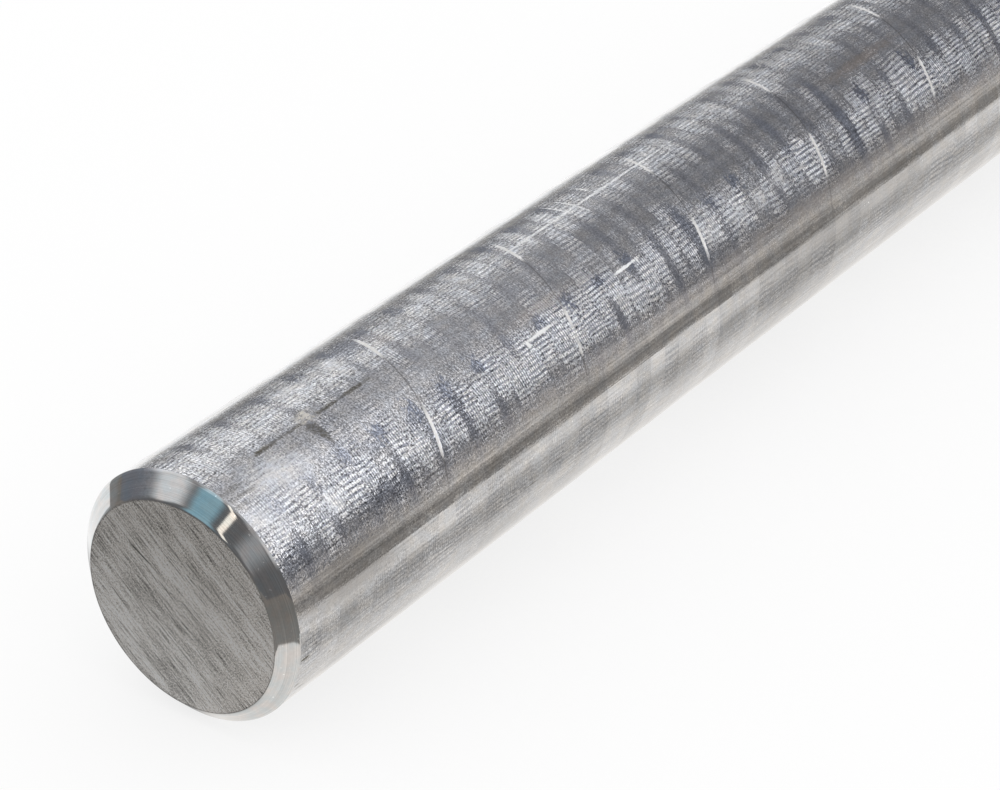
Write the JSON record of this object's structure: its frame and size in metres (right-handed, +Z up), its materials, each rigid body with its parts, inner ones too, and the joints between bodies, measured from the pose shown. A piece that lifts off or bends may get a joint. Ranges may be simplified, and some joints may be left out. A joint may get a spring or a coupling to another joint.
{
  "type": "round metal bar",
  "caption": "Solid round bright steel bar, sawn square with a turned chamfer round each end; stock for shafts, pins and turned parts.",
  "frame": {"origin": "on the level that the bar lies on, under the middle of its length and its width", "axes": "+X along the bar from the near end to the far end, +Z up, +Y across the bar"},
  "size_m": [1, 0.04, 0.04],
  "materials": {
    "bright_steel": "bright drawn steel with straightener marks, sawn ends and turned chamfers"
  },
  "bodies": {
    "root": {"round_bar": "bright_steel"}
  },
  "joints": []
}
